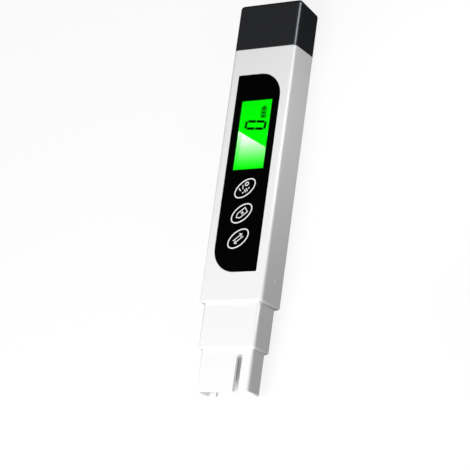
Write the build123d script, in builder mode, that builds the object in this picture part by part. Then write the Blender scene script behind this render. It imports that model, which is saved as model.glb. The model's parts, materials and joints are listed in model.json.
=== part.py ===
from build123d import *

import os
from math import cos, hypot, radians, sin, tan

# Pen-type meter for the dissolved solids in water, lying on its back with the display up.
# X runs across the pen, Y along it from the probe end to the battery cap, and Z out of the
# display. The origin is on the surface that the pen lies on, under the middle of its length.
# Millimetres throughout.

# Outer form
body_width = 28.4
body_depth = 14.4
housing_length = 103.5
cap_length = 19.5
cap_end_lean = 5.8
neck_length = 17.8
shroud_length = 16.5
edge_radius = 1.6
neck_inset = 1.45
shroud_inset = 1.1
rim_bevel = 0.5
shroud_rim_bevel = 0.3
parting_bevel = 0.15

# Housing walls
side_wall = 1.5
back_wall = 1.5
front_wall = 1.8
inner_radius = 0.8

# Battery cap and the spigot that it pushes over
cap_wall = 1.2
cap_roof = 2.6
cap_clearance = 0.12
spigot_length = 5.0
spigot_wall = 0.8
spigot_shoulder = 2.0
spigot_bevel = 0.3
cell_stop_width = 6.0
cell_stop_thickness = 1.2
cell_stop_length = 2.0
cell_stop_gap = 0.4

# Printed panel on the front
panel_width = 20.2
panel_above_rim = 11.6
panel_below_cap = 11.0
panel_corner = 10.0
panel_small_corner = 0.4
panel_clearance = 0.08
overlay_thickness = 0.5
adhesive_thickness = 0.1
overlay_sink = 0.1

# Display opening and its window
display_width = 13.7
display_above_key = 3.54
display_below_panel_top = 11.1
window_flange = 1.3
window_flange_thickness = 0.5
window_clearance = 0.06
window_above_polariser = 0.1
aperture_ledge = 0.55

# Keys
key_long = 11.0
key_short = 7.0
key_tilt = 36.5
first_key_above_rim = 24.85
key_gap = 1.52
key_clearance = 0.15
key_flange = 0.45
key_flange_thickness = 0.8
key_lift_gap = 0.1
key_travel = 0.25
key_edge_bevel = 0.2
key_stem_size = 2.6
key_stem_length = 0.45

# Circuit board
board_thickness = 1.0
board_side_gap = 0.2
board_end_gap = 0.6
tongue_gap = 0.8
rail_height = 1.2
rail_thickness = 0.8
rail_gap = 0.1
rail_end_gap = 1.0

# Liquid crystal display stack, from the board upwards
reflector_thickness = 0.2
light_guide_thickness = 2.8
polariser_thickness = 0.2
glass_thickness = 0.9
glass_margin = 1.4
glass_ledge = 2.0
frame_wall = 1.2
frame_lip = 0.6
frame_lip_gap = 0.2
frame_fit = 0.1
frame_mask = 1.0
peg_size = 1.1
peg_clearance = 0.1
peg_stand_out = 0.7
zebra_width = 1.5
led_width = 2.8
led_depth = 1.2
led_height = 1.6
led_spacing = 7.0

# Tactile switches
switch_size = 6.0
switch_floor = 0.8
switch_height = 3.2
switch_well = 4.4
switch_cover = 0.3
switch_cover_inset = 0.1
plunger_diameter = 3.4
plunger_flange_size = 4.0
plunger_clearance = 0.15
plunger_lift_gap = 0.05
dome_size = 4.0
dome_rise = 0.4
dome_slope = 60
dome_thickness = 0.12

# Two button cells in a row, their tray and the contacts
cell_diameter = 11.6
cell_thickness = 5.4
cell_pole_diameter = 9.6
cell_pole_height = 0.35
cell_row_gap = 0.1
tray_wall = 1.2
tray_floor = 0.8
tray_clearance = 0.15
tray_plate_thickness = 1.2
tray_plate_gap = 0.15
tray_groove_depth = 0.7
tray_groove_gap = 0.05
contact_thickness = 0.25
contact_width = 3.0
contact_spread = 2.6
contact_gap = 0.03
contact_lift = 0.3
contact_headroom = 0.9
contact_pin_width = 1.5
contact_pin_gap = 0.1
contact_pin_stand_out = 0.7

# Probe holder
plug_length = 14.0
plug_clearance = 0.1
holder_wall = 1.6
shroud_wall = 1.3
chamber_depth = 15.0
chamber_floor = 5.0
slot_width = 2.5
slot_offset = 6.25
slot_below_step = 2.2
latch_above_rim = 10.1
latch_diameter = 1.5
latch_clearance = 0.08
latch_sink = 0.3
seal_above_rim = 4.0
seal_thickness = 1.0
seal_length = 2.0
seal_gap = 0.04

# Electrodes and temperature sensor
electrode_diameter = 1.5
electrode_spacing = 5.2
electrode_recess = 5.0
electrode_tip_bevel = 0.35
bore_gap = 0.03
solder_lap = 4.0
solder_width = 3.0
solder_height = 1.2
solder_taper = 10
solder_film = 0.1
lead_solder_width = 0.9
sensor_diameter = 2.4
sensor_wall = 0.3
sensor_offset = 6.25
bead_size = 1.2
bead_length = 2.0
lead_size = 0.4
lead_spacing = 1.0
resin_depth = 2.5
resin_gap = 0.04
tongue_above_floor = 3.2

# Chips and other parts on the back of the board
meter_chip_size = 10.0
meter_chip_height = 1.5
amplifier_length = 5.0
amplifier_width = 4.0
amplifier_height = 1.4
amplifier_above_rim = 26.0
crystal_diameter = 1.5
crystal_length = 5.0
crystal_from_edge = 5.5
crystal_gap = 1.0
chip_length = 2.0
chip_width = 1.25
chip_height = 0.6
chip_pitch = 3.0
capacitor_count = 4
resistor_count = 5

# Stations along the pen
total_length = shroud_length + neck_length + housing_length + cap_length
shroud_end = -total_length / 2
neck_end = shroud_end + shroud_length
rim = neck_end + neck_length
cap_rim = rim + housing_length
cap_end = cap_rim + cap_length
panel_low = rim + panel_above_rim
panel_high = cap_rim - panel_below_cap
key_rise = hypot(key_long * sin(radians(key_tilt)), key_short * cos(radians(key_tilt)))
key_stations = [rim + first_key_above_rim + i * (key_rise + key_gap) for i in range(3)]
display_low = key_stations[-1] + key_rise / 2 + display_above_key
display_high = panel_high - display_below_panel_top
display_mid = (display_low + display_high) / 2
spigot_end = cap_rim + spigot_length
cell_row_end = cap_end - cap_roof - cell_stop_length - cell_stop_gap
outer_cell_mid = cell_row_end - cell_diameter / 2
inner_cell_mid = outer_cell_mid - cell_diameter - cell_row_gap
tray_bottom_end = inner_cell_mid - cell_diameter / 2 - tray_clearance
tray_back = tray_bottom_end - tray_wall
contact_back = tray_back - contact_gap - contact_thickness
latch_station = rim + latch_above_rim
seal_station = rim + seal_above_rim

# Levels through the pen's depth
mid_z = body_depth / 2
inner_front = body_depth - front_wall
inner_mid = (inner_front + back_wall) / 2
overlay_top = body_depth - overlay_sink
overlay_bottom = overlay_top - overlay_thickness
recess_floor = overlay_bottom - adhesive_thickness
glass_top = inner_front - frame_lip_gap - frame_lip
front_glass_bottom = glass_top - glass_thickness
rear_glass_bottom = front_glass_bottom - glass_thickness
light_guide_top = rear_glass_bottom - polariser_thickness
light_guide_bottom = light_guide_top - light_guide_thickness
board_top = light_guide_bottom - reflector_thickness
board_bottom = board_top - board_thickness
key_flange_top = inner_front - key_lift_gap
key_flange_bottom = key_flange_top - key_flange_thickness
key_stem_bottom = key_flange_bottom - key_stem_length
switch_top = board_top + switch_height
dome_seat = board_top + switch_floor
dome_top = dome_seat + dome_rise + dome_thickness
plunger_flange_top = switch_top - plunger_lift_gap
plunger_bottom = dome_top + key_travel + plunger_lift_gap
cell_bottom = mid_z - cell_thickness / 2
cell_top = cell_bottom + cell_thickness
tray_floor_top = cell_bottom - contact_thickness
strap_bottom = cell_top + contact_gap

# Widths and depths that several pieces share
inner_width = body_width - 2 * side_wall
inner_depth = inner_front - back_wall
spigot_inset = cap_wall + cap_clearance
spigot_width = body_width - 2 * spigot_inset
spigot_depth = body_depth - 2 * spigot_inset
bore_width = spigot_width - 2 * spigot_wall
bore_depth = spigot_depth - 2 * spigot_wall
neck_width = body_width - 2 * neck_inset
neck_depth = body_depth - 2 * neck_inset
shroud_width = neck_width - 2 * shroud_inset
shroud_depth = neck_depth - 2 * shroud_inset
plug_width = inner_width - 2 * plug_clearance
plug_depth = inner_depth - 2 * plug_clearance
hollow_width = neck_width - 2 * holder_wall
hollow_depth = neck_depth - 2 * holder_wall
board_width = inner_width - 2 * board_side_gap
glass_width = display_width + 2 * glass_margin
glass_low = display_low - glass_margin
rear_glass_high = display_high + glass_margin
front_glass_high = rear_glass_high + glass_ledge
frame_width = glass_width + 2 * (frame_fit + frame_wall)
frame_low = glass_low - frame_fit - frame_wall
frame_high = front_glass_high + frame_fit + frame_wall
chamber_top = shroud_end + chamber_depth
hollow_floor = chamber_top + chamber_floor
tongue_end = hollow_floor + tongue_above_floor
electrode_radius = electrode_diameter / 2
electrode_level = board_top + solder_film + electrode_radius
electrode_tip = shroud_end + electrode_recess
electrode_end = tongue_end + solder_lap
electrode_places = [-electrode_spacing / 2, electrode_spacing / 2]
lead_places = [-sensor_offset - lead_spacing / 2, -sensor_offset + lead_spacing / 2]
channel_width = cell_diameter + 2 * tray_clearance
tray_width = channel_width + 2 * tray_wall
contact_places = [-contact_spread, contact_spread]
board_low = rim + plug_length + board_end_gap
board_end = tray_back - board_end_gap
peg_places = [
    (side * (frame_width - frame_wall) / 2, station)
    for side in (-1, 1)
    for station in (frame_low + frame_wall / 2, frame_high - frame_wall / 2)
]

os.makedirs("parts", exist_ok=True)


def across(y):
    """The plane across the pen at station y. An extrusion from it runs towards the probe end."""
    return Plane.XZ.offset(-y)


def strip_face(width, low, high):
    """A rectangle on the pen's middle line, from station low to station high."""
    with BuildSketch() as strip:
        with Locations((0, (low + high) / 2)):
            Rectangle(width, high - low)
    return strip.sketch


def panel_face(growth):
    """The panel's outline with two large corners on a diagonal, grown all round by growth."""
    with BuildSketch() as outline:
        add(strip_face(panel_width + 2 * growth, panel_low - growth, panel_high + growth))
        top = outline.vertices().group_by(Axis.Y)[-1].sort_by(Axis.X)
        bottom = outline.vertices().group_by(Axis.Y)[0].sort_by(Axis.X)
        fillet([top[-1], bottom[0]], panel_corner + growth)
        top = outline.vertices().group_by(Axis.Y)[-1].sort_by(Axis.X)
        bottom = outline.vertices().group_by(Axis.Y)[0].sort_by(Axis.X)
        fillet([top[0], bottom[-1]], panel_small_corner + growth)
    return outline.sketch


def display_face(growth):
    """The display opening, grown all round by growth."""
    return strip_face(display_width + 2 * growth, display_low - growth, display_high + growth)


def key_face(station, growth):
    """One key's slanted oval, grown all round by growth."""
    with BuildSketch() as oval:
        with Locations((0, station)):
            Ellipse(key_long / 2 + growth, key_short / 2 + growth, rotation=key_tilt)
    return oval.sketch


def save(made, name):
    """Labels a finished piece and writes it under its own name."""
    made.part.label = name
    export_step(made.part, f"parts/{name}.step")


# Housing: one moulded tube with a spigot for the cap, open at the probe end
with BuildPart() as housing:
    with BuildSketch(across(cap_rim)):
        with Locations((0, mid_z)):
            RectangleRounded(body_width, body_depth, edge_radius)
    extrude(amount=housing_length)
    chamfer(housing.edges().group_by(Axis.Y)[0], rim_bevel)
    chamfer(housing.edges().group_by(Axis.Y)[-1], parting_bevel)
    with BuildSketch(across(spigot_end)):
        with Locations((0, mid_z)):
            RectangleRounded(spigot_width, spigot_depth, inner_radius)
    extrude(amount=spigot_length)
    chamfer(housing.edges().group_by(Axis.Y)[-1], spigot_bevel)
    # room for the board and the plug of the probe holder
    with BuildSketch(across(cap_rim - spigot_shoulder)):
        with Locations((0, inner_mid)):
            RectangleRounded(inner_width, inner_depth, inner_radius)
    extrude(amount=housing_length - spigot_shoulder, mode=Mode.SUBTRACT)
    # mouth that the battery tray passes through
    with BuildSketch(across(spigot_end)):
        with Locations((0, mid_z)):
            Rectangle(bore_width, bore_depth)
    extrude(amount=spigot_length + spigot_shoulder, mode=Mode.SUBTRACT)
    # rails that carry the long edges of the board, the upper pair below the display only
    for level, top in (
        (board_bottom - rail_gap - rail_thickness / 2, board_end),
        (board_top + rail_gap + rail_thickness / 2, frame_low - rail_end_gap),
    ):
        with BuildSketch(across(top)):
            with Locations((0, level)):
                with GridLocations(inner_width + side_wall - rail_height, 0, 2, 1):
                    Rectangle(rail_height + side_wall, rail_thickness)
        extrude(amount=top - board_low)
    # recess for the panel, then the openings through its floor
    with BuildSketch(Plane.XY.offset(recess_floor)):
        add(panel_face(panel_clearance))
    extrude(amount=body_depth - recess_floor, mode=Mode.SUBTRACT)
    with BuildSketch(Plane.XY.offset(recess_floor - window_flange_thickness)):
        add(display_face(window_flange + window_clearance))
    extrude(amount=window_flange_thickness, mode=Mode.SUBTRACT)
    with BuildSketch(Plane.XY.offset(inner_front)):
        add(display_face(window_flange - aperture_ledge))
    extrude(amount=recess_floor - inner_front, mode=Mode.SUBTRACT)
    with BuildSketch(Plane.XY.offset(inner_front)):
        for station in key_stations:
            add(key_face(station, key_clearance))
    extrude(amount=recess_floor - inner_front, mode=Mode.SUBTRACT)
    # holes in both sides that the holder's latch pips snap into
    with BuildSketch(Plane.YZ):
        with Locations((latch_station, inner_mid)):
            Circle(latch_diameter / 2)
    extrude(amount=body_width, both=True, mode=Mode.SUBTRACT)
save(housing, "housing")

# Battery cap: a hollow box pushed over the spigot
with BuildPart() as battery_cap:
    with BuildSketch(across(cap_end)):
        with Locations((0, mid_z)):
            Rectangle(body_width, body_depth)
    extrude(amount=cap_length)
    # the end leans back from its front edge
    with BuildSketch(Plane.YZ):
        with BuildLine():
            lean = body_depth * tan(radians(cap_end_lean))
            Polyline((cap_end, body_depth), (cap_end, 0), (cap_end - lean, 0), close=True)
        make_face()
    extrude(amount=body_width, both=True, mode=Mode.SUBTRACT)
    # its long edges and its end are rounded alike, all but the four edges at the rim
    fillet(battery_cap.edges().sort_by(Axis.Y)[4:], edge_radius)
    chamfer(battery_cap.edges().group_by(Axis.Y)[0], parting_bevel)
    with BuildSketch(across(cap_end - cap_roof)):
        with Locations((0, mid_z)):
            Rectangle(body_width - 2 * cap_wall, body_depth - 2 * cap_wall)
    extrude(amount=cap_length - cap_roof, mode=Mode.SUBTRACT)
    # stop that keeps the cells in their tray
    with BuildSketch(across(cap_end - cap_roof)):
        with Locations((0, mid_z)):
            Rectangle(cell_stop_width, cell_stop_thickness)
    extrude(amount=cell_stop_length)
save(battery_cap, "battery_cap")

# Printed panel, cut out for the window and the keys
with BuildPart() as graphic_overlay:
    with BuildSketch(Plane.XY.offset(overlay_bottom)):
        add(panel_face(0))
        add(display_face(window_clearance), mode=Mode.SUBTRACT)
        for station in key_stations:
            add(key_face(station, key_clearance), mode=Mode.SUBTRACT)
    extrude(amount=overlay_thickness)
save(graphic_overlay, "graphic_overlay")

# Double-sided tape that bonds the panel into its recess, with one opening for all the keys
with BuildPart() as overlay_adhesive:
    with BuildSketch(Plane.XY.offset(recess_floor)):
        add(panel_face(0))
        add(display_face(window_clearance), mode=Mode.SUBTRACT)
        keys_low = key_stations[0] - key_rise / 2 - key_clearance
        keys_high = key_stations[-1] + key_rise / 2 + key_clearance
        add(strip_face(key_long, keys_low, keys_high), mode=Mode.SUBTRACT)
    extrude(amount=adhesive_thickness)
save(overlay_adhesive, "overlay_adhesive")

# Clear window: its flange lies in a seat under the panel and its block reaches down to the display
with BuildPart() as display_window:
    window_bottom = glass_top + polariser_thickness + window_above_polariser
    with BuildSketch(Plane.XY.offset(window_bottom)):
        add(display_face(window_flange - aperture_ledge - window_clearance))
    extrude(amount=recess_floor - window_bottom)
    with BuildSketch(Plane.XY.offset(recess_floor - window_flange_thickness)):
        add(display_face(window_flange))
    extrude(amount=window_flange_thickness)
    with BuildSketch(Plane.XY.offset(recess_floor)):
        add(display_face(0))
    extrude(amount=overlay_top - recess_floor)
save(display_window, "display_window")

# Three oval keys and the switch plungers that move with them
for name, station in zip(("mode", "clear", "on_off"), key_stations):
    with BuildPart() as key:
        with BuildSketch(Plane.XY.offset(key_flange_bottom)):
            add(key_face(station, key_flange))
        extrude(amount=key_flange_thickness)
        with BuildSketch(Plane.XY.offset(key_flange_top)):
            add(key_face(station, 0))
        extrude(amount=body_depth - key_flange_top)
        chamfer(key.edges().group_by(Axis.Z)[-1], key_edge_bevel)
        with BuildSketch(Plane.XY.offset(key_stem_bottom)):
            with Locations((0, station)):
                Rectangle(key_stem_size, key_stem_size)
        extrude(amount=key_stem_length)
    save(key, f"{name}_key")

    with BuildPart() as plunger:
        with BuildSketch(Plane.XY.offset(plunger_bottom)):
            with Locations((0, station)):
                Rectangle(plunger_flange_size, plunger_flange_size)
        extrude(amount=plunger_flange_top - plunger_bottom)
        with BuildSketch(Plane.XY.offset(plunger_flange_top)):
            with Locations((0, station)):
                Circle(plunger_diameter / 2)
        extrude(amount=key_stem_bottom - plunger_flange_top)
    save(plunger, f"{name}_plunger")

# Switch bases with a square well, their steel covers and their snap springs
switch_places = [(0, station) for station in key_stations]
with BuildPart() as switch_bases:
    with BuildSketch(Plane.XY.offset(board_top)):
        with Locations(*switch_places):
            Rectangle(switch_size, switch_size)
    extrude(amount=switch_height)
    with BuildSketch(Plane.XY.offset(board_top + switch_floor)):
        with Locations(*switch_places):
            Rectangle(switch_well, switch_well)
    extrude(amount=switch_height - switch_floor, mode=Mode.SUBTRACT)
save(switch_bases, "switch_bases")

with BuildPart() as switch_covers:
    with BuildSketch(Plane.XY.offset(switch_top)):
        with Locations(*switch_places):
            Rectangle(switch_size - 2 * switch_cover_inset, switch_size - 2 * switch_cover_inset)
        with Locations(*switch_places):
            Circle(plunger_diameter / 2 + plunger_clearance, mode=Mode.SUBTRACT)
    extrude(amount=switch_cover)
save(switch_covers, "switch_covers")

with BuildPart() as switch_domes:
    # square plates pressed up in the middle: a tapered block less the same block one sheet lower
    for level, mode in ((dome_seat + dome_thickness, Mode.ADD), (dome_seat, Mode.SUBTRACT)):
        with BuildSketch(Plane.XY.offset(level)):
            with Locations(*switch_places):
                Rectangle(dome_size, dome_size)
        extrude(amount=dome_rise, taper=dome_slope, mode=mode)
save(switch_domes, "switch_domes")

# Circuit board with a tongue into the probe holder and one into the battery tray
with BuildPart() as circuit_board:
    with BuildSketch(Plane.XY.offset(board_bottom)):
        add(strip_face(board_width, board_low, board_end))
        add(strip_face(hollow_width - 2 * tongue_gap, tongue_end, board_low))
        tray_tongue_end = tray_back + tray_groove_depth - tray_groove_gap
        add(strip_face(channel_width - 2 * tray_groove_gap, board_end, tray_tongue_end))
        with Locations(*peg_places):
            Rectangle(
                peg_size + 2 * peg_clearance, peg_size + 2 * peg_clearance, mode=Mode.SUBTRACT
            )
        with Locations(*[(x, contact_back + contact_thickness / 2) for x in contact_places]):
            Rectangle(
                contact_pin_width + 2 * contact_pin_gap,
                contact_thickness + 2 * contact_pin_gap,
                mode=Mode.SUBTRACT,
            )
    extrude(amount=board_thickness)
save(circuit_board, "circuit_board")

# Display stack: reflector, light guide, two polarising films and two glass plates
with BuildPart() as reflector_film:
    with BuildSketch(Plane.XY.offset(board_top)):
        add(strip_face(glass_width, display_low, display_high))
    extrude(amount=reflector_thickness)
save(reflector_film, "reflector_film")

with BuildPart() as light_guide:
    with BuildSketch(Plane.XY.offset(light_guide_bottom)):
        add(strip_face(glass_width, display_low, display_high))
    extrude(amount=light_guide_thickness)
save(light_guide, "light_guide")

with BuildPart() as lcd_rear_polariser:
    with BuildSketch(Plane.XY.offset(light_guide_top)):
        add(strip_face(glass_width, glass_low, rear_glass_high))
    extrude(amount=polariser_thickness)
save(lcd_rear_polariser, "lcd_rear_polariser")

with BuildPart() as lcd_rear_glass:
    with BuildSketch(Plane.XY.offset(rear_glass_bottom)):
        add(strip_face(glass_width, glass_low, rear_glass_high))
    extrude(amount=glass_thickness)
save(lcd_rear_glass, "lcd_rear_glass")

with BuildPart() as lcd_front_glass:
    with BuildSketch(Plane.XY.offset(front_glass_bottom)):
        add(strip_face(glass_width, glass_low, front_glass_high))
    extrude(amount=glass_thickness)
save(lcd_front_glass, "lcd_front_glass")

with BuildPart() as lcd_front_polariser:
    with BuildSketch(Plane.XY.offset(glass_top)):
        add(display_face(frame_mask - frame_fit))
    extrude(amount=polariser_thickness)
save(lcd_front_polariser, "lcd_front_polariser")

# Frame that clamps the display to the board, with four pegs through it
with BuildPart() as lcd_frame:
    with BuildSketch(Plane.XY.offset(board_top)):
        add(strip_face(frame_width, frame_low, frame_high))
    extrude(amount=glass_top + frame_lip - board_top)
    with BuildSketch(Plane.XY.offset(board_top)):
        pocket_width = glass_width + 2 * frame_fit
        add(strip_face(pocket_width, glass_low - frame_fit, front_glass_high + frame_fit))
    extrude(amount=glass_top - board_top, mode=Mode.SUBTRACT)
    with BuildSketch(Plane.XY.offset(glass_top)):
        add(display_face(frame_mask))
    extrude(amount=frame_lip, mode=Mode.SUBTRACT)
    with BuildSketch(Plane.XY.offset(board_bottom - peg_stand_out)):
        with Locations(*peg_places):
            Rectangle(peg_size, peg_size)
    extrude(amount=board_thickness + peg_stand_out)
save(lcd_frame, "lcd_frame")

# Striped rubber connector from the board to the ledge of the front glass
with BuildPart() as zebra_strip:
    zebra_mid = (rear_glass_high + front_glass_high) / 2
    with BuildSketch(Plane.XY.offset(board_top)):
        with Locations((0, zebra_mid)):
            Rectangle(glass_width, zebra_width)
    extrude(amount=front_glass_bottom - board_top)
save(zebra_strip, "zebra_strip")

# Green lamps at the lower end of the light guide
with BuildPart() as backlight_leds:
    with BuildSketch(Plane.XY.offset(board_top)):
        with Locations((0, display_low - led_depth / 2)):
            with GridLocations(led_spacing, 0, 2, 1):
                Rectangle(led_width, led_depth)
    extrude(amount=led_height)
save(backlight_leds, "backlight_leds")

# Probe holder: plug, neck and shroud in one moulding
with BuildPart() as probe_holder:
    with BuildSketch(across(rim)):
        with Locations((0, mid_z)):
            RectangleRounded(neck_width, neck_depth, edge_radius - parting_bevel)
    extrude(amount=neck_length)
    chamfer(probe_holder.edges().group_by(Axis.Y)[0], rim_bevel)
    with BuildSketch(across(neck_end + rim_bevel)):
        with Locations((0, mid_z)):
            RectangleRounded(shroud_width, shroud_depth, edge_radius - parting_bevel)
    extrude(amount=shroud_length + rim_bevel)
    chamfer(probe_holder.edges().group_by(Axis.Y)[0], shroud_rim_bevel)
    with BuildSketch(across(rim + plug_length)):
        with Locations((0, inner_mid)):
            RectangleRounded(plug_width, plug_depth, inner_radius - plug_clearance / 2)
    extrude(amount=plug_length)
    chamfer(probe_holder.edges().group_by(Axis.Y)[-1], spigot_bevel)
    # groove for the seal
    groove_depth = seal_thickness - plug_clearance + 2 * seal_gap
    with BuildSketch(across(seal_station + seal_length / 2 + seal_gap)):
        with Locations((0, inner_mid)):
            Rectangle(inner_width, inner_depth)
            Rectangle(
                plug_width - 2 * groove_depth, plug_depth - 2 * groove_depth, mode=Mode.SUBTRACT
            )
    extrude(amount=seal_length + 2 * seal_gap, mode=Mode.SUBTRACT)
    # hollow for the board's tongue and the resin
    with BuildSketch(across(rim + plug_length)):
        with Locations((0, mid_z)):
            Rectangle(hollow_width, hollow_depth)
    extrude(amount=rim + plug_length - hollow_floor, mode=Mode.SUBTRACT)
    # water chamber round the electrodes
    with BuildSketch(across(chamber_top)):
        with Locations((0, mid_z)):
            RectangleRounded(
                shroud_width - 2 * shroud_wall, shroud_depth - 2 * shroud_wall, inner_radius
            )
    extrude(amount=chamber_depth, mode=Mode.SUBTRACT)
    # bores through the chamber's ceiling
    with BuildSketch(across(hollow_floor)):
        with Locations(*[(x, electrode_level) for x in electrode_places]):
            Circle(electrode_radius + bore_gap)
        with Locations((-sensor_offset, electrode_level)):
            Circle(sensor_diameter / 2 + bore_gap)
    extrude(amount=chamber_floor, mode=Mode.SUBTRACT)
    # flow slots, one in the front and one in the back, open at the end
    slot_top = neck_end - slot_below_step - slot_width / 2
    slot_length = slot_top - shroud_end
    for side, face in ((1, body_depth - mid_z), (-1, -mid_z)):
        with BuildSketch(Plane.XY.offset(mid_z)):
            with Locations((side * slot_offset, slot_top)):
                Circle(slot_width / 2)
            with Locations((side * slot_offset, slot_top - slot_length / 2)):
                Rectangle(slot_width, slot_length)
        extrude(amount=face, mode=Mode.SUBTRACT)
    # latch pips on both sides of the plug
    with BuildSketch(Plane.YZ.offset(hollow_width / 2)):
        with Locations((latch_station, inner_mid)):
            Circle(latch_diameter / 2 - latch_clearance)
    extrude(amount=body_width / 2 - latch_sink - hollow_width / 2)
    with BuildSketch(Plane.YZ.offset(-hollow_width / 2)):
        with Locations((latch_station, inner_mid)):
            Circle(latch_diameter / 2 - latch_clearance)
    extrude(amount=hollow_width / 2 + latch_sink - body_width / 2)
save(probe_holder, "probe_holder")

# Flat seal between the holder's plug and the housing
with BuildPart() as probe_seal:
    seal_width = inner_width - 2 * seal_gap
    seal_depth = inner_depth - 2 * seal_gap
    with BuildSketch(across(seal_station + seal_length / 2)):
        with Locations((0, inner_mid)):
            RectangleRounded(seal_width, seal_depth, inner_radius)
            Rectangle(
                seal_width - 2 * seal_thickness, seal_depth - 2 * seal_thickness, mode=Mode.SUBTRACT
            )
    extrude(amount=seal_length)
save(probe_seal, "probe_seal")

# Electrode pins, soldered to the front of the board's lower tongue
for name, x in zip(("left_electrode", "right_electrode"), electrode_places):
    with BuildPart() as electrode:
        with BuildSketch(across(electrode_end)):
            with Locations((x, electrode_level)):
                Circle(electrode_radius)
        extrude(amount=electrode_end - electrode_tip)
        chamfer(electrode.edges().group_by(Axis.Y)[0], electrode_tip_bevel)
    save(electrode, name)

with BuildPart() as solder_joints:
    solder_station = electrode_end - solder_lap / 2
    with BuildSketch(Plane.XY.offset(board_top)):
        with Locations(*[(x, solder_station) for x in electrode_places]):
            Rectangle(solder_width, solder_lap)
        with Locations(*[(x, solder_station) for x in lead_places]):
            Rectangle(lead_solder_width, solder_lap)
    extrude(amount=solder_height, taper=solder_taper)
    with BuildSketch(across(electrode_end)):
        with Locations(*[(x, electrode_level) for x in electrode_places]):
            Circle(electrode_radius)
        with Locations(*[(x, electrode_level) for x in lead_places]):
            Rectangle(lead_size, lead_size)
    extrude(amount=solder_lap, mode=Mode.SUBTRACT)
save(solder_joints, "solder_joints")

# Temperature sensor: a steel sleeve with a bead and two leads
bead_low = electrode_tip + sensor_wall + bore_gap
bead_high = bead_low + bead_length
with BuildPart() as sensor_sleeve:
    with BuildSketch(across(hollow_floor)):
        with Locations((-sensor_offset, electrode_level)):
            Circle(sensor_diameter / 2)
    extrude(amount=hollow_floor - electrode_tip)
    with BuildSketch(across(hollow_floor)):
        with Locations((-sensor_offset, electrode_level)):
            Circle(sensor_diameter / 2 - sensor_wall)
    extrude(amount=hollow_floor - electrode_tip - sensor_wall, mode=Mode.SUBTRACT)
save(sensor_sleeve, "sensor_sleeve")

with BuildPart() as sensor_bead:
    with BuildSketch(across(bead_high)):
        with Locations((-sensor_offset, electrode_level)):
            Rectangle(bead_size, bead_size)
    extrude(amount=bead_length)
save(sensor_bead, "sensor_bead")

with BuildPart() as sensor_leads:
    with BuildSketch(across(electrode_end)):
        with Locations(*[(x, electrode_level) for x in lead_places]):
            Rectangle(lead_size, lead_size)
    extrude(amount=electrode_end - bead_high)
save(sensor_leads, "sensor_leads")

# Resin that seals the pins where they leave the chamber's ceiling
with BuildPart() as potting_resin:
    with BuildSketch(across(hollow_floor + resin_depth)):
        with Locations((0, mid_z)):
            Rectangle(hollow_width - 2 * resin_gap, hollow_depth - 2 * resin_gap)
        with Locations(*[(x, electrode_level) for x in electrode_places]):
            Circle(electrode_radius + resin_gap, mode=Mode.SUBTRACT)
        with Locations(*[(x, electrode_level) for x in lead_places]):
            Rectangle(
                lead_size + 2 * resin_gap, lead_size + 2 * resin_gap, mode=Mode.SUBTRACT
            )
    extrude(amount=resin_depth)
save(potting_resin, "potting_resin")

# Tray for the cells: an open channel whose plate closes the spigot's mouth
with BuildPart() as battery_tray:
    with BuildSketch(Plane.XY.offset(tray_floor_top - tray_floor)):
        add(strip_face(tray_width, tray_back, cell_row_end))
    extrude(amount=tray_floor + contact_thickness + cell_thickness)
    with BuildSketch(across(spigot_end)):
        with Locations((0, mid_z)):
            Rectangle(bore_width - 2 * tray_plate_gap, bore_depth - 2 * tray_plate_gap)
    extrude(amount=tray_plate_thickness)
    with BuildSketch(Plane.XY.offset(tray_floor_top)):
        add(strip_face(channel_width, tray_bottom_end, cell_row_end))
    extrude(amount=cell_top + contact_headroom - tray_floor_top, mode=Mode.SUBTRACT)
    # groove in the back wall for the board's tongue
    with BuildSketch(Plane.XY.offset(board_bottom - tray_groove_gap)):
        add(strip_face(channel_width, tray_back, tray_back + tray_groove_depth))
    extrude(amount=board_thickness + 2 * tray_groove_gap, mode=Mode.SUBTRACT)
save(battery_tray, "battery_tray")

# Cells: the inner one stands on its smaller pole and the outer one has it on top
for name, station, can_bottom, pole_bottom in (
    ("inner_cell", inner_cell_mid, cell_bottom + cell_pole_height, cell_bottom),
    ("outer_cell", outer_cell_mid, cell_bottom, cell_top - cell_pole_height),
):
    with BuildPart() as button_cell:
        with BuildSketch(Plane.XY.offset(can_bottom)):
            with Locations((0, station)):
                Circle(cell_diameter / 2)
        extrude(amount=cell_thickness - cell_pole_height)
        with BuildSketch(Plane.XY.offset(pole_bottom)):
            with Locations((0, station)):
                Circle(cell_pole_diameter / 2)
        extrude(amount=cell_pole_height)
    save(button_cell, name)

# Strip on the tray's floor that links the two cells
with BuildPart() as link_contact:
    with BuildSketch(Plane.XY.offset(tray_floor_top)):
        add(strip_face(contact_width, inner_cell_mid - contact_width, outer_cell_mid + contact_width))
    extrude(amount=contact_thickness)
save(link_contact, "link_contact")

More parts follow.
